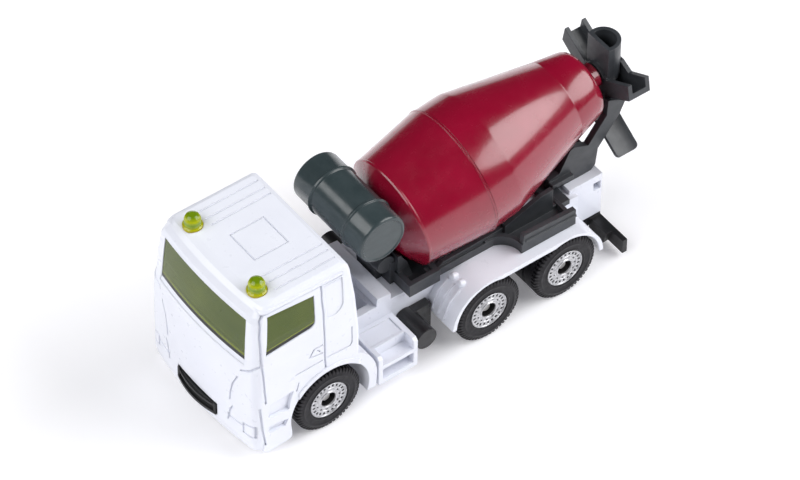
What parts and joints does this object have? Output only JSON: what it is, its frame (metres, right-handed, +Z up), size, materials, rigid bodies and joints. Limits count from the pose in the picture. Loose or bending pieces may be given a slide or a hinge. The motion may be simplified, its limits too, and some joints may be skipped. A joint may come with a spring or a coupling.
{
  "type": "toy cement mixer truck",
  "caption": "Pocket-size die-cast cement mixer truck with a tilted drum that turns, a filling hopper, a swinging discharge chute and rolling wheels.",
  "frame": {"origin": "on the ground under the middle of the bounding box", "axes": "+X towards the front of the truck, +Y to its left, +Z up"},
  "size_m": [0.0816, 0.0276, 0.0361],
  "materials": {
    "white_paint": "glossy cool-white enamel",
    "clear_lime": "clear yellow-green moulding",
    "black_plastic": "satin black",
    "slate_plastic": "satin slate grey",
    "tank_plastic": "semi-gloss slate grey",
    "crimson_plastic": "glossy deep crimson",
    "steel": "plain drawn steel",
    "tyre_rubber": "matte black",
    "silver_plastic": "silver metallic coat"
  },
  "bodies": {
    "truck_body": {"cab_shell": "white_paint", "chassis_frame": "white_paint", "cab_glazing": "clear_lime", "bumper_bar": "black_plastic", "base_plate": "black_plastic", "base_rivets": "steel", "drum_frame": "slate_plastic", "water_tank": "tank_plastic", "hopper_collector": "slate_plastic", "chute_pin": "steel"},
    "drum": {"drum_front_shell": "crimson_plastic", "drum_rear_shell": "crimson_plastic"},
    "chute": {"discharge_chute": "slate_plastic"},
    "wheelset_front": {"axle_front": "steel", "tyre_front_left": "tyre_rubber", "tyre_front_right": "tyre_rubber", "rim_front_left": "silver_plastic", "rim_front_right": "silver_plastic"},
    "wheelset_middle": {"axle_middle": "steel", "tyre_middle_left": "tyre_rubber", "tyre_middle_right": "tyre_rubber", "rim_middle_left": "silver_plastic", "rim_middle_right": "silver_plastic"},
    "wheelset_rear": {"axle_rear": "steel", "tyre_rear_left": "tyre_rubber", "tyre_rear_right": "tyre_rubber", "rim_rear_left": "silver_plastic", "rim_rear_right": "silver_plastic"}
  },
  "joints": [
    {"name": "drum_spin", "type": "hinge", "parent": "truck_body", "child": "drum", "pos_m": [0.00277, 0, 0.02251], "axis": [-0.9856, 0, 0.1693], "continuous": true},
    {"name": "chute_swing", "type": "hinge", "parent": "truck_body", "child": "chute", "pos_m": [-0.038, 0, 0.021], "axis": [0, 0, 1], "range_deg": [0, 180]},
    {"name": "wheels_front_roll", "type": "hinge", "parent": "truck_body", "child": "wheelset_front", "pos_m": [0.0246, 0, 0.006], "axis": [0, 1, 0], "continuous": true},
    {"name": "wheels_middle_roll", "type": "hinge", "parent": "truck_body", "child": "wheelset_middle", "pos_m": [-0.00625, 0, 0.006], "axis": [0, 1, 0], "continuous": true},
    {"name": "wheels_rear_roll", "type": "hinge", "parent": "truck_body", "child": "wheelset_rear", "pos_m": [-0.02115, 0, 0.006], "axis": [0, 1, 0], "continuous": true}
  ]
}
